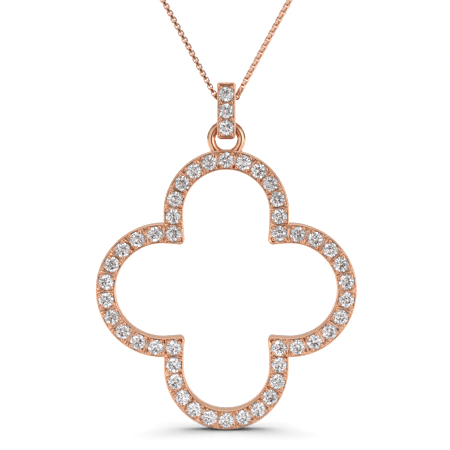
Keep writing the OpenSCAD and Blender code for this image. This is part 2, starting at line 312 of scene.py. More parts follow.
def lobe_cells(lobe):
    """For each stone on a lobe: its centre, its cell's outline, which steps of that are edges, and its two
    cuts, each as an inner and an outer point."""
    r, centre, start, count, _ = lobe
    length = lobe_length(r, centre, start)
    pitch = length / (count + 1)

    def inner_point(s):
        return lobe_point(lobe, s, -HALF_BAND - flare(min(s, length - s)))

    def side_ends(k):
        s = (k + 0.5) * pitch
        outer_s = min(max(s, HALF_BAND), length - HALF_BAND)
        return s, inner_point(s), outer_s, lobe_point(lobe, outer_s, HALF_BAND)

    steps = np.linspace(0, 1, EDGE_STEPS + 1)[1:-1]
    for k in range(1, count + 1):
        s0, inner0, outer_s0, outer0 = side_ends(k - 1)
        s1, inner1, outer_s1, outer1 = side_ends(k)
        outer = [lobe_point(lobe, outer_s0 + (outer_s1 - outer_s0) * t, HALF_BAND) for t in steps]
        inner = [inner_point(s) for s in s1 + (s0 - s1) * steps]
        first, second = side_line(inner0, outer0), side_line(inner1, outer1)[::-1]
        loop = np.array([*first, *outer, *second, *inner])
        a, b = len(first) - 1, len(first) + len(outer)
        edge = np.zeros(len(loop), bool)
        edge[a:b] = True
        edge[b + len(second) - 1:] = True
        yield lobe_point(lobe, k * pitch, 0), loop, edge, [(inner0, outer0), (inner1, outer1)]


def corner_cell(side, up, tall_pitch, wide_pitch):
    """The cell of a corner stone, with its rounded inner foot."""
    out = (HALF_BAND, HALF_BAND)
    rounding = HALF_BAND + FOOT_FLARE - FOOT_R
    tall_end = (-HALF_BAND - flare(tall_pitch / 2), tall_pitch / 2)
    wide_end = (wide_pitch / 2, -HALF_BAND - flare(wide_pitch / 2))
    down = [(-HALF_BAND - flare(b), b) for b in np.linspace(tall_pitch / 2, -rounding, FOOT_STEPS)[1:-1]]
    foot = [(-rounding + FOOT_R * math.cos(a), -rounding + FOOT_R * math.sin(a))
            for a in np.radians(np.linspace(180, 270, FOOT_STEPS))]
    along = [(a, -HALF_BAND - flare(a)) for a in np.linspace(-rounding, wide_end[0], FOOT_STEPS)[1:-1]]
    first, second = side_line(tall_end, out)[::-1], side_line(wide_end, out)
    loop = np.array([*first, *down, *foot, *along, *second[:-1]])
    edge = np.zeros(len(loop), bool)
    edge[len(first) - 1:len(first) + len(down) + len(foot) + len(along)] = True
    mirror = np.array([side, up])
    corner = np.array(CORNER)
    cuts = [((corner + a) * mirror, (corner + b) * mirror) for a, b in ((tall_end, out), (wide_end, out))]
    return corner * mirror, (corner + loop) * mirror, edge, cuts


def segment_distance(points, starts, ends):
    """The distance from each point to the nearest of some straight segments."""
    along = ends - starts
    t = np.einsum("psk,sk->ps", points[:, None] - starts, along) / np.maximum(np.sum(along ** 2, 1), 1e-12)
    near = starts + np.clip(t, 0, 1)[..., None] * along
    return np.min(np.linalg.norm(points[:, None] - near, axis=2), 1)


def cell_rows(loop, stone, hole_r, far_rows=()):
    """Rows of points from a cell's outline in towards the hole under its stone."""
    away = loop - stone
    reach = np.linalg.norm(away, axis=1)
    inward = -away / reach[:, None]
    length = reach - hole_r
    near = EDGE_ROWS[:, None] * np.minimum(1, length / FULL_ROWS)
    far = near[-1] + (length - near[-1]) * np.array(far_rows)[:, None]
    steps = np.concatenate([near, far])
    return loop + inward * steps[..., None]


def edge_round(d):
    """How far the rounded edge lies below the face at a distance d from the outline."""
    t = np.clip(RIM_ROUND - d, 0, RIM_ROUND)
    return RIM_ROUND - np.sqrt(RIM_ROUND ** 2 - t ** 2)


def cut_share(places, d, cuts):
    """How deep the cuts are at each place, from 0 to 1, a little unevenly, as they are made by hand."""
    wide = GROOVE_RIM + (GROOVE_INSIDE - GROOVE_RIM) * smooth(d, *CUT_WIDENS)
    share = np.zeros(len(places))
    for a, b in cuts:
        off = segment_distance(places, a[None], b[None])
        middle = (a + b) / 2
        strength = 0.6 + 0.4 * np.sin(7 * places[:, 0] + 5 * places[:, 1] + 3 * middle[0])
        share = np.maximum(share, strength * np.clip(1 - off / wide, 0, 1))
    return share * smooth(d, *CUT_BEGINS) * (1 - 0.5 * smooth(d, *CUT_FADES))


def floor_facets(places):
    """The graver's small facets on the floor, about 0.15 mm wide."""
    across, up = places[:, 0], places[:, 1]
    return FACET * np.sin(41 * across + 13 * up) * np.sin(35 * up - 19 * across)


def set_cells(cells, beads, seat_r, depth, drop=None):
    """The metal of a row of stones: points (across, up, height over the face), faces, and how much painted
    shade each point gets. Each cell has a raised rim, a cut at each neighbour, a seat with its light hole,
    walls and a flat back. Where the front turns back, drop gives how far."""
    starts = np.concatenate([loop[edge] for _, loop, edge, _ in cells])
    ends = np.concatenate([np.roll(loop, -1, 0)[edge] for _, loop, edge, _ in cells])
    points, faces, painted_shade = [], [], []
    for stone, loop, edge, cuts in cells:
        n = len(loop)
        rows = cell_rows(loop, stone, seat_r, SEAT_ROWS)
        places = rows.reshape(-1, 2)
        d = segment_distance(places, starts, ends)
        cut = cut_share(places, d, cuts)
        floor = (FLOOR_SINK - floor_facets(places)) * smooth(d, RIM_FLAT, RIM_END)
        height = -edge_round(d) - floor - DISH * smooth(d, RIM_FLAT, DISH_END) - GROOVE_DEPTH * cut
        height = height.reshape(len(rows), n)
        # Painted shade in the cuts and in a ring round each bead
        nearest = np.min(np.linalg.norm(places[:, None] - beads[None], axis=2), 1)
        bead_shade = 1 - smooth(nearest, BEAD_SHADE_R, BEAD_SHADE_R + BEAD_SHADE_W)
        dark = CUT_DARK * cut + BEAD_SHADE_DARK * bead_shade * smooth(d, *BEAD_SHADE_BEGINS)
        dark = np.clip(dark, 0, 1).reshape(len(rows), n)
        layers = [(rows[k], height[k], dark[k]) for k in range(len(rows))]
        low = np.minimum(height[-1] - SEAT_STEP, -SEAT_DEEP)
        hole = stone + unit(loop - stone) * LIGHT_HOLE_R
        # The seat's step and the light hole's wall are painted dark
        layers.append((rows[-1], low, np.full(n, HOLE_DARK)))
        layers.append((hole, np.full(n, -LIGHT_HOLE_TOP), np.full(n, HOLE_DARK)))
        layers.append((hole, np.full(n, -depth), np.zeros(n)))
        back = cell_rows(loop, stone, LIGHT_HOLE_R)
        back_d = segment_distance(back.reshape(-1, 2), starts, ends).reshape(len(back), n)
        layers += [(back[k], -depth + edge_round(back_d[k]), np.zeros(n)) for k in reversed(range(len(back)))]
        first = sum(len(p) for p in points)
        for xy, h, dark_row in layers:
            if drop is not None:
                h = h - drop(xy) * (h > -FRONT_PART * depth)
            points.append(np.column_stack([xy, h]))
            painted_shade.append(dark_row)
        last = first + (len(layers) - 1) * n
        faces += wrap(first, len(layers), n)
        for a in np.nonzero(edge)[0]:
            b = (a + 1) % n
            faces.append((first + a, last + a, last + b, first + b))
    return np.concatenate(points), faces, np.concatenate(painted_shade)


def bead_spots(cells, first_corner):
    """Four beads round each stone of the clover, nearer together on the inner side. The corner stones, from
    the given one on, have theirs on the diagonals."""
    inner_way, outer_way = unit(np.array(INNER_BEAD)), unit(np.array(OUTER_BEAD))
    spots = []
    for k, (stone, _, _, cuts) in enumerate(cells):
        if k >= first_corner:
            spots += [stone + BEAD_REACH * unit(np.array([a, b])) for a in (1.0, -1.0) for b in (1.0, -1.0)]
            continue
        (inner0, outer0), (inner1, outer1) = cuts
        along = unit(inner1 + outer1 - inner0 - outer0)
        outward = np.array([-along[1], along[0]])
        if np.dot(outward, outer0 + outer1 - inner0 - inner1) < 0:
            outward = -outward
        spots += [stone + BEAD_REACH * (side * way[0] * along + way[1] * outward)
                  for way in (inner_way, outer_way) for side in (1, -1)]
    return np.array(spots)


def ring_mesh(ring_r, wire_r, around, across, swell_at=None):
    """Rings of points round a circle in the front plane; swell_at gives how far solder thickens the
    outer side."""
    points, faces = [], []
    for k in range(around):
        a = 2 * math.pi * k / around
        swell = swell_at(a) if swell_at else 0.0
        for j in range(across):
            b = 2 * math.pi * j / across
            wire = wire_r + swell * max(0.0, math.cos(b))
            r = ring_r + wire * math.cos(b)
            points.append((r * math.cos(a), r * math.sin(a), wire * math.sin(b)))
    for k in range(around):
        for j in range(across):
            m, i = (k + 1) % around, (j + 1) % across
            faces.append((k * across + j, m * across + j, m * across + i, k * across + i))
    return points, faces


def solder_swell(a):
    """The ring's wire swells a little where solder joins it to the band."""
    x, up = RING_R * math.cos(a), RING_CENTRE - CLOVER_CENTRE + RING_R * math.sin(a)
    top = TALL_CENTRE + math.sqrt((TALL_R + HALF_BAND) ** 2 - x ** 2)
    return SOLDER_SWELL * math.exp(-((up - top) / SOLDER_REACH) ** 2)


# Each lobe: radius, how far out its middle and its first stone lie, stones, and the way it points
LOBES = [(TALL_R, TALL_CENTRE, WIDE_R, TALL_COUNT, math.radians(by)) for by in (90, 270)]
LOBES += [(WIDE_R, WIDE_CENTRE, TALL_R, WIDE_COUNT, math.radians(by)) for by in (0, 180)]
TALL_PITCH = lobe_length(TALL_R, TALL_CENTRE, WIDE_R) / (TALL_COUNT + 1)
WIDE_PITCH = lobe_length(WIDE_R, WIDE_CENTRE, TALL_R) / (WIDE_COUNT + 1)
RING_STEPS, RING_WIRE_STEPS = 96, 28

clover_cells = [cell for lobe in LOBES for cell in lobe_cells(lobe)]
first_corner = len(clover_cells)
clover_cells += [corner_cell(side, up, TALL_PITCH, WIDE_PITCH) for side in (1, -1) for up in (1, -1)]
clover_bead_spots = bead_spots(clover_cells, first_corner)
band_points, band_faces, band_painted_shade = set_cells(
    clover_cells, clover_bead_spots, STONE_D / 2 + SEAT_GAP, BAND_DEPTH)
band_places = on_front(band_points + [0, 0, FACE], CLOVER_CENTRE)
ring_points, ring_faces = ring_mesh(RING_R, RING_WIRE / 2, RING_STEPS, RING_WIRE_STEPS, solder_swell)
# The ring gets painted shade at its top, inside the bail
ring_painted_shade = TOP_DARK * smooth(np.array([p[1] for p in ring_points]), *TOP_DARK_AT)
clover_metal = new_mesh(
    "clover_band_and_ring",
    np.concatenate([band_places, on_front(ring_points, RING_CENTRE)]),
    band_faces + after(ring_faces, len(band_places)),
    rose_gold,
    painted_shade=np.concatenate([band_painted_shade, ring_painted_shade]),
)


# The bail: a plate with three cells, and the strap behind it

BAIL_ROWS = (1, 0, -1)
WALL_STEPS, CORNER_STEPS = 13, 7


def bail_cells():
    """Three stones one above the other in a plate with rounded corners, seen from the front."""
    w, h = BAIL_W / 2, BAIL_H / 2
    cells = []
    for row in BAIL_ROWS:
        top, bottom = (row + 0.5) * BAIL_PITCH, (row - 0.5) * BAIL_PITCH
        stone = np.array([0.0, row * BAIL_PITCH])
        if row == 0:
            upper = side_line((-w, top), (w, top))
            lower = side_line((w, bottom), (-w, bottom))
            steps = np.linspace(0, 1, EDGE_STEPS + 1)[1:-1]
            right = [(w, top + (bottom - top) * t) for t in steps]
            left = [(-w, bottom + (top - bottom) * t) for t in steps]
            loop = np.array([*upper, *right, *lower, *left])
            edge = np.zeros(len(loop), bool)
            edge[len(upper) - 1:len(upper) + len(right)] = True
            edge[len(upper) + len(right) + len(lower) - 1:] = True
            cuts = [(upper[0], upper[-1]), (lower[0], lower[-1])]
        else:
            inner, r = (bottom, UPPER_CORNER_R) if row == 1 else (-top, LOWER_CORNER_R)
            line = side_line((w, inner), (-w, inner))
            wall = [(-w, y) for y in np.linspace(inner, h - r, WALL_STEPS)[1:-1]]
            corner = [(-w + r + r * math.cos(a), h - r + r * math.sin(a))
                      for a in np.radians(np.linspace(180, 90, CORNER_STEPS))]
            top_edge = [(x, h) for x in np.linspace(-w + r, w - r, WALL_STEPS)[1:-1]]
            other = [(-x, y) for x, y in reversed(corner)]
            down = [(-x, y) for x, y in reversed(wall)]
            loop = np.array([*line, *wall, *corner, *top_edge, *other, *down]) * [1, row]
            edge = np.ones(len(loop), bool)
            edge[:len(line) - 1] = False
            cuts = [(loop[0], loop[len(line) - 1])]
        cells.append((stone, loop, edge, cuts))
    return cells


def heel_drop(xy):
    """The plate's lower end turns back, so that the ring can swing."""
    below = np.clip(BAIL_BOTTOM + HEEL_R - (xy[:, 1] + PLATE_MIDDLE), 0, HEEL_R * HEEL_SHARE)
    return HEEL_R - np.sqrt(HEEL_R ** 2 - below ** 2)


def arc(r, up, start, end, count):
    """Points on an arc in the side view, as out and up, from one angle to another in degrees."""
    return [(r * math.cos(a), up + r * math.sin(a)) for a in np.radians(np.linspace(start, end, count))]


def strap_sides():
    """The strap behind the plate, seen from the side: as many outer as inner points, as out and up."""
    foot, lap = BAIL_BOTTOM + BAIL_BACK, HOLLOW_R + STRAP_LAP
    meet = math.degrees(math.acos(lap / BAIL_BACK))
    outer = [(0.72, BAIL_BOTTOM), (0.5, BAIL_BOTTOM), (0.25, BAIL_BOTTOM)]
    outer += arc(BAIL_BACK, foot, -90, -180, 13)
    outer += [(-BAIL_BACK, y) for y in np.linspace(foot, HOLLOW_TOP, 7)[1:-1]]
    outer += arc(BAIL_BACK, HOLLOW_TOP, 180, meet, 15)
    inner = arc(HOLLOW_R, HOLLOW_BOTTOM, 0, -180, 16)
    inner += [(-HOLLOW_R, y) for y in np.linspace(HOLLOW_BOTTOM, HOLLOW_TOP, 7)[1:-1]]
    inner += arc(HOLLOW_R, HOLLOW_TOP, 180, 0, 15)
    # Both ends lap into the plate
    inner[0] = (lap, HOLLOW_BOTTOM + 0.05)
    inner[-1] = (lap, HOLLOW_TOP)
    return outer, inner


# The four turns of a rounded edge, and the painted shade of the points of one ring, outside, inside and
# outside
EDGE_TURNS = [math.radians(t) for t in (90, 60, 30, 0)]
STRAP_PAINTED_SHADE = [0.0] * 4 + [LOOP_DARK] * 8 + [0.0] * 4


def strap_mesh():
    """The strap as rings of points across it, with rounded edges, lower corners and closed ends."""
    outer, inner = strap_sides()
    points = []
    for (outer_out, outer_up), (inner_out, inner_up) in zip(outer, inner):
        across = np.array([outer_out - inner_out, outer_up - inner_up])
        step = STRAP_EDGE * across / np.linalg.norm(across)
        below = min(max(0.0, BAIL_BOTTOM + LOWER_CORNER_R - outer_up), LOWER_CORNER_R)
        half = BAIL_W / 2 - (LOWER_CORNER_R - math.sqrt(LOWER_CORNER_R ** 2 - below ** 2))
        right = []
        for a in EDGE_TURNS:
            sunk = 1 - math.sin(a)
            side = half - STRAP_EDGE + STRAP_EDGE * math.cos(a)
            right.append((side, outer_up - step[1] * sunk, outer_out - step[0] * sunk))
        for a in reversed(EDGE_TURNS):
            sunk = 1 - math.sin(a)
            side = BAIL_W / 2 - STRAP_EDGE + STRAP_EDGE * math.cos(a)
            right.append((side, inner_up + step[1] * sunk, inner_out + step[0] * sunk))
        points += right + [(-side, up, out) for side, up, out in reversed(right)]
    n = len(STRAP_PAINTED_SHADE)
    ends = [tuple(range(n)), tuple(range(len(points) - n, len(points)))]
    return points, wrap(0, len(outer), n) + ends


BAIL_BEAD_SPOTS = np.array([(side * BAIL_BEAD_SIDE, up) for side in (1, -1) for up in BAIL_BEAD_ROWS])
plate_points, plate_faces, plate_painted_shade = set_cells(
    bail_cells(), BAIL_BEAD_SPOTS, BAIL_STONE_D / 2 + SEAT_GAP, BAIL_FRONT - HOLLOW_R, heel_drop)
# Painted shade on the heel, where the plate turns back
plate_painted_shade = np.maximum(plate_painted_shade, HEEL_DARK * smooth(-plate_points[:, 1], *HEEL_DARK_AT))
plate_places = on_front(plate_points + [0, 0, BAIL_FRONT], PLATE_MIDDLE)
strap_points, strap_faces = strap_mesh()
strap_painted_shade = np.tile(STRAP_PAINTED_SHADE, len(strap_points) // len(STRAP_PAINTED_SHADE))
bail_metal = new_mesh(
    "bail_plate_and_strap",
    np.concatenate([plate_places, on_front(strap_points, 0)]),
    plate_faces + after(strap_faces, len(plate_places)),
    rose_gold,
    painted_shade=np.concatenate([plate_painted_shade, strap_painted_shade]),
)


# What repeats is made with Geometry Nodes: beads, stones and links


def new_tree(name, sockets):
    """An empty modifier tree: geometry in and out, named inputs with first values, and the material."""
    tree = bpy.data.node_groups.new(name, "GeometryNodeTree")
    tree.interface.new_socket("Geometry", in_out="INPUT", socket_type="NodeSocketGeometry")
    for socket_name, kind, value in [*sockets, ("Material", "Material", None)]:
        socket = tree.interface.new_socket(socket_name, in_out="INPUT", socket_type="NodeSocket" + kind)
        if value is not None:
            socket.default_value = value
    tree.interface.new_socket("Geometry", in_out="OUTPUT", socket_type="NodeSocketGeometry")
    return tree, add(tree, "NodeGroupInput").outputs


def close_tree(tree, geometry, material):
    """The tree's end: real geometry with its material."""
    real = add(tree, "GeometryNodeRealizeInstances", {"Geometry": geometry})
    painted = add(tree, "GeometryNodeSetMaterial", {"Geometry": real.outputs[0], "Material": material})
    add(tree, "NodeGroupOutput", {"Geometry": painted.outputs[0]})


def grow(name, source, tree, values, sharp=None):
    """Runs a tree on a source object and keeps the result as a plain mesh at the origin."""
    modifier = source.modifiers.new("grow", "NODES")
    modifier.node_group = tree
    for item in tree.interface.items_tree:
        if item.in_out == "INPUT" and item.name in values:
            modifier[item.identifier] = values[item.name]
    source.update_tag()
    graph = bpy.context.evaluated_depsgraph_get()
    mesh = bpy.data.meshes.new_from_object(source.evaluated_get(graph), depsgraph=graph)
    source.modifiers.remove(modifier)
    bpy.data.objects.remove(source)
    mesh.name = name
    mesh.materials.clear()
    mesh.materials.append(values["Material"])
    if sharp is not None:
        mesh.set_sharp_from_angle(angle=math.radians(sharp))
    return in_scene(name, mesh)


def source_object(name, places, edges=()):
    """A mesh of bare points, or of a line through them, for a tree to work on."""
    mesh = bpy.data.meshes.new(name)
    mesh.from_pydata([tuple(p) for p in places], edges, [])
    return in_scene(name, mesh)


def bead_tree():
    """A bead on each point, moved and sized a little at random, as hand-raised beads are."""
    tree, given = new_tree("beads_on_points", [
        ("Shape", "Object", None), ("Shift", "Float", 0.02 * MM), ("Smallest", "Float", 0.88),
        ("Largest", "Float", 1.1), ("Seed", "Int", 5)])
    shape = add(tree, "GeometryNodeObjectInfo", {"Object": given["Shape"]})
    size = add(tree, "FunctionNodeRandomValue", {
        2: given["Smallest"], 3: given["Largest"], "Seed": given["Seed"]})
    way = add(tree, "FunctionNodeRandomValue", {
        0: (-1, 0, -1), 1: (1, 0, 1), "Seed": given["Seed"]}, data_type="FLOAT_VECTOR")
    offset = add(tree, "ShaderNodeVectorMath", {
        0: way.outputs[0], "Scale": given["Shift"]}, operation="SCALE")
    moved = add(tree, "GeometryNodeSetPosition", {
        "Geometry": given["Geometry"], "Offset": offset.outputs[0]})
    placed = add(tree, "GeometryNodeInstanceOnPoints", {
        "Points": moved.outputs[0], "Instance": shape.outputs["Geometry"], "Scale": size.outputs[1]})
    close_tree(tree, placed.outputs[0], given["Material"])
    return tree


def stone_tree():
    """A cut stone on each point, spun and tipped a little at random, as a setter leaves them."""
    tree, given = new_tree("stones_on_points", [
        ("Shape", "Object", None), ("Tip", "Float", 0.04), ("Seed", "Int", 7)])
    shape = add(tree, "GeometryNodeObjectInfo", {"Object": given["Shape"]})
    spin = add(tree, "FunctionNodeRandomValue", {2: 0.0, 3: 2 * math.pi, "Seed": given["Seed"]})
    other_way = add(tree, "ShaderNodeMath", {0: given["Tip"], 1: -1.0}, operation="MULTIPLY")
    # Two ways to tip, each with its own draw
    tips = []
    for further in (12.0, 13.0):
        seed = add(tree, "ShaderNodeMath", {0: given["Seed"], 1: further}, operation="ADD")
        tip = add(tree, "FunctionNodeRandomValue", {
            2: other_way.outputs[0], 3: given["Tip"], "Seed": seed.outputs[0]})
        tips.append(tip.outputs[1])
    turn = add(tree, "ShaderNodeCombineXYZ", {"X": tips[0], "Y": spin.outputs[1], "Z": tips[1]})
    rotation = add(tree, "FunctionNodeEulerToRotation", {"Euler": turn.outputs[0]})
    placed = add(tree, "GeometryNodeInstanceOnPoints", {
        "Points": given["Geometry"], "Instance": shape.outputs["Geometry"],
        "Rotation": rotation.outputs[0]})
    close_tree(tree, placed.outputs[0], given["Material"])
    return tree


def link_tree():
    """Box links of flat strip along a route, each turned a quarter against the one before, and all turned
    further about the chain by a roll that grows over the first links."""
    tree, given = new_tree("links_on_route", [
        ("Pitch", "Float", LINK_PITCH * MM), ("Link width", "Float", LINK_W * MM),
        ("Link length", "Float", LINK_LENGTH * MM), ("Thickness", "Float", LINK_THICK * MM),
        ("Breadth", "Float", LINK_BREADTH * MM), ("First turn", "Float", 0.0), ("Roll", "Float", 0.0),
        ("Roll run", "Float", ROLL_RUN)])
    curve = add(tree, "GeometryNodeMeshToCurve", {"Mesh": given["Geometry"]})
    soft = add(tree, "GeometryNodeCurveSplineType", {"Curve": curve.outputs[0]}, spline_type="CATMULL_ROM")
    upright = add(tree, "GeometryNodeSetCurveNormal", {"Curve": soft.outputs[0]}, mode="Z_UP")
    spots = add(tree, "GeometryNodeCurveToPoints", {
        "Curve": upright.outputs[0], "Length": given["Pitch"]}, mode="LENGTH")
    # One link: a strip with six sides, bent round a rectangle with rounded corners
    width, length = (
        add(tree, "ShaderNodeMath", {0: given[size], 1: given["Thickness"]}, operation="SUBTRACT").outputs[0]
        for size in ("Link width", "Link length"))
    square = add(tree, "GeometryNodeCurvePrimitiveQuadrilateral", {"Width": width, "Height": length})
    corner = add(tree, "ShaderNodeMath", {0: width, 1: 0.3}, operation="MULTIPLY")
    rounded = add(tree, "GeometryNodeFilletCurve", {
        "Curve": square.outputs[0], "Radius": corner.outputs[0], "Count": 2}, mode="POLY")
    six = add(tree, "GeometryNodeCurvePrimitiveCircle", {"Resolution": 6, "Radius": 0.5})
    turned_six = add(tree, "GeometryNodeTransform", {
        "Geometry": six.outputs[0], "Rotation": (0, 0, math.radians(30))})
    flat = add(tree, "ShaderNodeCombineXYZ", {"X": given["Thickness"], "Y": given["Breadth"], "Z": 1.0})
    strip = add(tree, "GeometryNodeTransform", {
        "Geometry": turned_six.outputs[0], "Scale": flat.outputs[0]})
    link = add(tree, "GeometryNodeCurveToMesh", {
        "Curve": rounded.outputs[0], "Profile Curve": strip.outputs[0]})
    smooth_link = add(tree, "GeometryNodeSetShadeSmooth", {"Geometry": link.outputs[0]})
    stood = add(tree, "GeometryNodeTransform", {
        "Geometry": smooth_link.outputs[0], "Rotation": (math.radians(90), 0, 0)})
    # Its turn about the chain
    index = add(tree, "GeometryNodeInputIndex")
    odd = add(tree, "ShaderNodeMath", {0: index.outputs[0], 1: 2.0}, operation="MODULO")
    quarter = add(tree, "ShaderNodeMath", {0: odd.outputs[0], 1: math.pi / 2}, operation="MULTIPLY")
    share = add(tree, "ShaderNodeMath", {
        0: index.outputs[0], 1: given["Roll run"]}, operation="DIVIDE", use_clamp=True)
    roll = add(tree, "ShaderNodeMath", {0: share.outputs[0], 1: given["Roll"]}, operation="MULTIPLY")
    turn = add(tree, "ShaderNodeMath", {0: quarter.outputs[0], 1: roll.outputs[0]}, operation="ADD")
    total = add(tree, "ShaderNodeMath", {0: turn.outputs[0], 1: given["First turn"]}, operation="ADD")
    about = add(tree, "FunctionNodeAxisAngleToRotation", {"Axis": (0, 0, 1), "Angle": total.outputs[0]})
    turned = add(tree, "FunctionNodeRotateRotation", {
        0: spots.outputs["Rotation"], 1: about.outputs[0]}, rotation_space="LOCAL")
    placed = add(tree, "GeometryNodeInstanceOnPoints", {
        "Points": spots.outputs["Points"], "Instance": stood.outputs[0], "Rotation": turned.outputs[0]})
    close_tree(tree, placed.outputs[0], given["Material"])
    return tree


def brilliant_object(d):
    """A round brilliant with its table towards the viewer, the same facets as in the part's source."""
    r = d / 2
    table, crown, star, girdle, pavilion, junction = 0.57, 0.30, 0.76, 0.06, 0.86, 0.25

    def ring(reach, up, count, offset):
        return [(reach * math.cos(a), up, reach * math.sin(a))
                for a in (2 * math.pi / count * k + math.pi / 8 * offset for k in range(count))]

    def slope(p, start, end):
        return start[1] + (end[1] - start[1]) * (p - start[0]) / (end[0] - start[0])

    cos_step = math.cos(math.pi / 8)
    star_up = slope(star * r * cos_step, (table * r, crown * r), (r, 0))
    junction_up = slope(junction * r * cos_step, (0, -(girdle + pavilion) * r), (r, -girdle * r))
    points = ring(table * r, crown * r, 8, 0) + ring(star * r, star_up, 8, 1) + ring(r, 0, 16, 0)
    points += ring(r, -girdle * r, 16, 0) + ring(junction * r, junction_up, 8, 1)
    points += [(0, -(girdle + pavilion) * r, 0)]
    stars, upper, lower, low_ring, point = 8, 16, 32, 48, 56
    faces = [tuple(range(8))]
    for k in range(8):
        n = (k + 1) % 8
        faces.append((k, n, stars + k))
        faces.append((k, stars + k, upper + 2 * k, stars + (k + 7) % 8))
        faces.append((stars + k, upper + 2 * k + 1, upper + 2 * k))
        faces.append((stars + k, upper + (2 * k + 2) % 16, upper + 2 * k + 1))
        faces.append((lower + 2 * k, lower + 2 * k + 1, low_ring + k))
        faces.append((lower + 2 * k + 1, lower + (2 * k + 2) % 16, low_ring + k))
        faces.append((lower + 2 * k, low_ring + k, point, low_ring + (k + 7) % 8))
    faces += [(upper + k, upper + (k + 1) % 16, lower + (k + 1) % 16, lower + k) for k in range(16)]
    places = [(x * MM, -(y - STONE_SINK) * MM, z * MM) for x, y, z in points]
    stone = new_mesh("cut_brilliant", places, faces, diamond)
    for face in stone.data.polygons:
        face.use_smooth = False
    return stone


def route_object(side):
    """The middle line of one half of the chain, from the bail to the clasp."""
    places = [Vector((side * x * MM, y * MM, z * MM)) for x, y, z in ROUTE]
    # The two halves' first links are one pitch apart
    places[0] = places[0].lerp(places[1], LINK_PITCH / 2 / math.dist(ROUTE[0], ROUTE[1]))
    # The last link stops short of the clasp, where the end ring joins them
    places[-1] = places[-1].lerp(places[-2], LINK_PITCH / math.dist(ROUTE[-1], ROUTE[-2]))
    return source_object("route", places, [(k, k + 1) for k in range(len(places) - 1)])


# A bead's dome and the dimple in its top, as out and up in shares of its radius
BEAD_PROFILE = [
    (1.2, -1.0), (1.08, -0.2), (1.0, 0.15), (0.9, 0.42), (0.74, 0.62), (0.5, 0.77), (0.27, 0.84), (0.17, 0.6),
]
DIMPLE_UP = 0.5
BEAD_SIDES = 9


def bead_object(r):
    """A bead of metal raised with a beading tool: a small dome with the tool's dimple in its top."""
    turns = [2 * math.pi / BEAD_SIDES * k for k in range(BEAD_SIDES)]
    points = [(r * out * math.cos(a), r * up, r * out * math.sin(a))
              for out, up in BEAD_PROFILE for a in turns]
    points.append((0, r * DIMPLE_UP, 0))
    faces = [tuple(range(BEAD_SIDES))] + wrap(0, len(BEAD_PROFILE), BEAD_SIDES)
    last = (len(BEAD_PROFILE) - 1) * BEAD_SIDES
    faces += [(last + k, last + (k + 1) % BEAD_SIDES, last + BEAD_SIDES) for k in range(BEAD_SIDES)]
    # Painted shade where it meets the metal, and in the dimple
    painted_shade = np.zeros(len(points))
    painted_shade[:BEAD_SIDES] = 1
    painted_shade[BEAD_SIDES:2 * BEAD_SIDES] = 0.6
    painted_shade[last:] = 0.8
    places = [(x * MM, -y * MM, z * MM) for x, y, z in points]
    return new_mesh("raised_bead", places, faces, rose_gold, painted_shade=painted_shade)


beads, stones, links = bead_tree(), stone_tree(), link_tree()


def repeat(name, shape, places, tree, values, sharp=None):
    """A shape on each of its places, varied by a tree."""
    values = {"Shape": shape, "Material": shape.data.materials[0], **values}
    piece = grow(name, source_object("places", places), tree, values, sharp)
    bpy.data.objects.remove(shape)
    return piece


clover_bead_places = [(*p, FACE - BEAD_SINK) for p in clover_bead_spots]
clover_beads = repeat(
    "clover_beads", bead_object(BEAD_R), on_front(clover_bead_places, CLOVER_CENTRE), beads,
    {"Shift": 0.025 * MM, "Seed": 5}, sharp=50)
bail_bead_places = [(*p, BAIL_FRONT - BEAD_SINK - float(heel_drop(p[None])[0])) for p in BAIL_BEAD_SPOTS]
bail_beads = repeat(
    "bail_beads", bead_object(BEAD_R), on_front(bail_bead_places, PLATE_MIDDLE), beads,
    {"Shift": 0.015 * MM, "Seed": 9}, sharp=50)
clover_stone_places = [(*cell[0], FACE) for cell in clover_cells]
clover_brilliants = repeat(
    "clover_brilliants", brilliant_object(STONE_D), on_front(clover_stone_places, CLOVER_CENTRE), stones,
    {"Tip": 0.08, "Seed": 7})
bail_stone_places = [(0, row * BAIL_PITCH, BAIL_FRONT) for row in BAIL_ROWS]
bail_brilliants = repeat(
    "bail_brilliants", brilliant_object(BAIL_STONE_D), on_front(bail_stone_places, PLATE_MIDDLE), stones,
    {"Tip": 0.07, "Seed": 3})
left_links, right_links = (
    grow(name, route_object(side), links, {turn: angle, "Material": rose_gold_wire}, sharp=20)
    for name, side, turn, angle in (
        ("chain_left_links", -1, "First turn", math.pi / 2),
        ("chain_right_links", 1, "Roll", math.radians(RIGHT_ROLL)),
    ))


END_RING_STEPS, END_RING_WIRE_STEPS = 40, 12


def end_ring(side, tilt):
    """A plain round ring through the clasp's loop and the last link, tilted about the chain in degrees."""
    near, far = np.array([*END_RING_NEAR, 0.0]), np.array([*END_RING_FAR, 0.0])
    along = unit(far - near)
    across = np.array([0.0, math.cos(math.radians(tilt)), math.sin(math.radians(tilt))])
    across = unit(across - along * np.dot(across, along))
    ring, faces = ring_mesh(
        np.linalg.norm(far - near) / 2, END_RING_WIRE / 2, END_RING_STEPS, END_RING_WIRE_STEPS)
    places = (near + far) / 2 + np.array(ring) @ np.array([along, across, np.cross(along, across)])
    return places * [side, 1, 1] * MM, faces


left_ring, end_ring_faces = end_ring(-1, LEFT_TILT)
right_ring, _ = end_ring(1, RIGHT_TILT)
end_rings = new_mesh(
    "chain_end_rings",
    np.concatenate([left_ring, right_ring]),
    end_ring_faces + after(end_ring_faces, len(left_ring)),
    rose_gold_wire,
)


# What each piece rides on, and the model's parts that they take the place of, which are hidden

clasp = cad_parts["clasp"]
clasp.data.materials.clear()
clasp.data.materials.append(rose_gold)

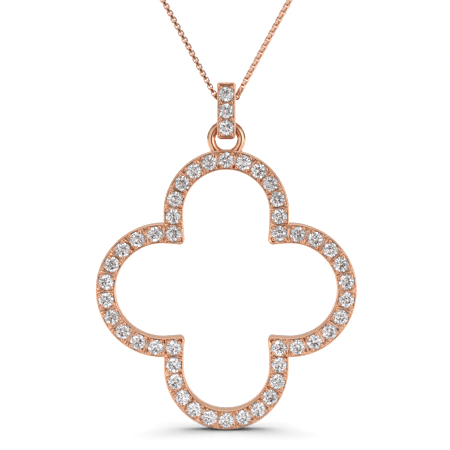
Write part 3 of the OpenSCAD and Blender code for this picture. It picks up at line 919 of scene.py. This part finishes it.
for piece, body, slot in (
    (clover_metal, "drop", "rose_gold"),
    (clover_beads, "drop", "rose_gold"),
    (clover_brilliants, "drop", "diamond"),
    (bail_metal, "bail", "rose_gold"),
    (bail_beads, "bail", "rose_gold"),
    (bail_brilliants, "bail", "diamond"),
    (left_links, "chain", "rose_gold_chain"),
    (right_links, "chain", "rose_gold_chain"),
    (end_rings, "chain", "rose_gold_chain"),
):
    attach(piece, body)
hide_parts("clover_frame")
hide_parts("clover_frame")
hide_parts("clover_stones")
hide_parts("bail")
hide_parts("bail")
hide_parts("bail_stone_top", "bail_stone_middle", "bail_stone_bottom")
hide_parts("chain_left")
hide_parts("chain_right")


# The floor just under the clover, the room's light and the camera

CLOVER_PLACE = np.array(CHAIN_IN_BAIL) + [0, 0, CLOVER_CENTRE]
FLOOR_GAP, FLOOR_FRONT, FLOOR_SIZE = 0.06, 14, 3000
FLOOR_UP = CLOVER_PLACE[2] - TALL_CENTRE - TALL_R - HALF_BAND - FLOOR_GAP


def pale_floor():
    """A matt white board, seen from above only, so that a view from below isn't blocked."""
    material, tree = new_material("floor_white_board")
    board = add(tree, "ShaderNodeBsdfDiffuse", {"Color": linear("#f8f8f8")})
    clear = add(tree, "ShaderNodeBsdfTransparent")
    under = add(tree, "ShaderNodeNewGeometry").outputs["Backfacing"]
    both = add(tree, "ShaderNodeMixShader", {0: under, 1: board.outputs[0], 2: clear.outputs[0]})
    add(tree, "ShaderNodeOutputMaterial", {"Surface": both.outputs[0]})
    mesh = bpy.data.meshes.new("floor")
    size, front = FLOOR_SIZE, CLOVER_PLACE[1] - FLOOR_FRONT
    corners = [(-size, front), (size, front), (size, size), (-size, size)]
    mesh.from_pydata([(x * MM, y * MM, FLOOR_UP * MM) for x, y in corners], [], [(0, 1, 2, 3)])
    mesh.materials.append(material)
    return in_scene("floor", mesh)


pale_floor()


# The room that the metal reflects: a plain level with soft patches. Each patch has the direction of its
# middle, how far it is full and where it is gone in degrees, its level and its colour.
ROOM_BETWEEN = (0.58, "#fffaf4")
ROOM = [
    # The wall behind the camera, the ceiling light and a lamp at the front right
    ((0.0, -1.0, 0.0), 52, 80, 1.1, "#fcfdff"),
    ((0.0, 0.1, 1.0), 25, 50, 1.1, "#fcfdff"),
    ((1.0, -0.9, 0.1), 10, 25, 1.8, "#fafdff"),
    # The wall behind the pendant, with a dark corner at each side
    ((0.0, 1.0, 0.1), 20, 50, 0.75, "#ffffff"),
    ((0.8, 0.6, 0.0), 10, 28, 0.3, "#fff0e4"),
    ((-0.8, 0.6, 0.0), 10, 28, 0.3, "#fff0e4"),
    # The table's edge, low at the front
    ((0.0, -0.6, -0.8), 20, 42, 0.4, "#ffe8d6"),
]
# The dark camera as metal shows it, and the small dark lens that stones show
DARK_CAMERA = ((0.0, -1.0, 0.05), 8, 22, 0.22, "#ffb88a")
DARK_LENS = ((0.0, -1.0, 0.1), 6, 16, 0.02, "#ffffff")
# What lights the floor: a level all round, and more from above, so that a soft shadow falls under the clover
FLOOR_LIGHT = (1.0, "#ffffff")
FLOOR_KEY = ((0.0, 0.3, 1.0), 10, 45, 2.3, "#ffffff")


def light(level, colour):
    """A colour of light at a level."""
    return [level * c for c in linear(colour)[:3]] + [1.0]


def studio_world():
    """The camera sees plain white, and the floor is lit evenly, with more from above. Metal reflects the room
    with its patches and the dark camera. Stones pass on the same room in grey, with the small dark lens and
    with dim gaps that make them sparkle."""
    world = bpy.data.worlds.new("studio")
    world.use_nodes = True
    tree = world.node_tree
    tree.nodes.clear()
    way = add(tree, "ShaderNodeTexCoord").outputs["Generated"]

    def with_patch(room_light, towards, full, gone, level, colour):
        near = add(tree, "ShaderNodeVectorMath", {
            0: way, 1: Vector(towards).normalized()}, operation="DOT_PRODUCT")
        inside = add(tree, "ShaderNodeMapRange", {
            "Value": near.outputs["Value"], "From Min": math.cos(math.radians(gone)),
            "From Max": math.cos(math.radians(full))}, interpolation_type="SMOOTHSTEP")
        return add(tree, "ShaderNodeMix", {
            0: inside.outputs["Result"], 6: room_light, 7: light(level, colour)}, data_type="RGBA").outputs[2]

    room_light = light(*ROOM_BETWEEN)
    for patch in ROOM:
        room_light = with_patch(room_light, *patch)
    metal_light = with_patch(room_light, *DARK_CAMERA)
    grey = add(tree, "ShaderNodeRGBToBW", {"Color": with_patch(room_light, *DARK_LENS)})
    gaps = add(tree, "ShaderNodeTexNoise", {"Vector": way, "Scale": 7.0, "Detail": 1.0})
    sparkle = add(tree, "ShaderNodeMapRange", {
        "Value": gaps.outputs["Fac"], "From Min": 0.42, "From Max": 0.58, "To Min": 0.3, "To Max": 1.45},
        interpolation_type="SMOOTHSTEP")
    stone_light = add(tree, "ShaderNodeMath", {
        0: grey.outputs[0], 1: sparkle.outputs["Result"]}, operation="MULTIPLY")
    path = add(tree, "ShaderNodeLightPath")
    seen = add(tree, "ShaderNodeMix", {
        0: path.outputs["Is Transmission Ray"], 6: metal_light, 7: stone_light.outputs[0]}, data_type="RGBA")
    floor_light = with_patch(light(*FLOOR_LIGHT), *FLOOR_KEY)
    room = add(tree, "ShaderNodeBackground", {"Color": seen.outputs[2]})
    even = add(tree, "ShaderNodeBackground", {"Color": floor_light})
    white = add(tree, "ShaderNodeBackground", {"Color": linear("#ffffff")})
    lit = add(tree, "ShaderNodeMixShader", {
        0: path.outputs["Is Diffuse Ray"], 1: room.outputs[0], 2: even.outputs[0]})
    both = add(tree, "ShaderNodeMixShader", {
        0: path.outputs["Is Camera Ray"], 1: lit.outputs[0], 2: white.outputs[0]})
    add(tree, "ShaderNodeOutputWorld", {"Surface": both.outputs[0]})
    return world


scene = bpy.context.scene
scene.world = studio_world()

# The camera's distance from the pendant's face, how far it stands to the left, and the heights over the
# clover's middle at which it stands and aims
CAMERA_AWAY, CAMERA_LEFT, CAMERA_UP, AIM_UP = 152, 0.11, 19.24, 5.54
camera_data = bpy.data.cameras.new("camera")
camera_data.sensor_width = 36
camera_data.lens = 146.5
camera_data.clip_start = 0.01
camera_data.clip_end = 20
camera = in_scene("camera", camera_data)
face_back = CLOVER_PLACE[1] - FACE
camera_place = Vector((-CAMERA_LEFT, face_back - CAMERA_AWAY, CLOVER_PLACE[2] + CAMERA_UP))
aim = Vector((-CAMERA_LEFT, face_back, CLOVER_PLACE[2] + AIM_UP))
camera.location = camera_place * MM
camera.rotation_euler = (aim - camera_place).to_track_quat("-Z", "Y").to_euler()
scene.camera = camera

scene.view_settings.view_transform = "Standard"
scene.view_settings.gamma = 0.85
scene.cycles.glossy_bounces = 10
scene.cycles.transmission_bounces = 16
scene.cycles.max_bounces = 16
scene.cycles.caustics_reflective = False
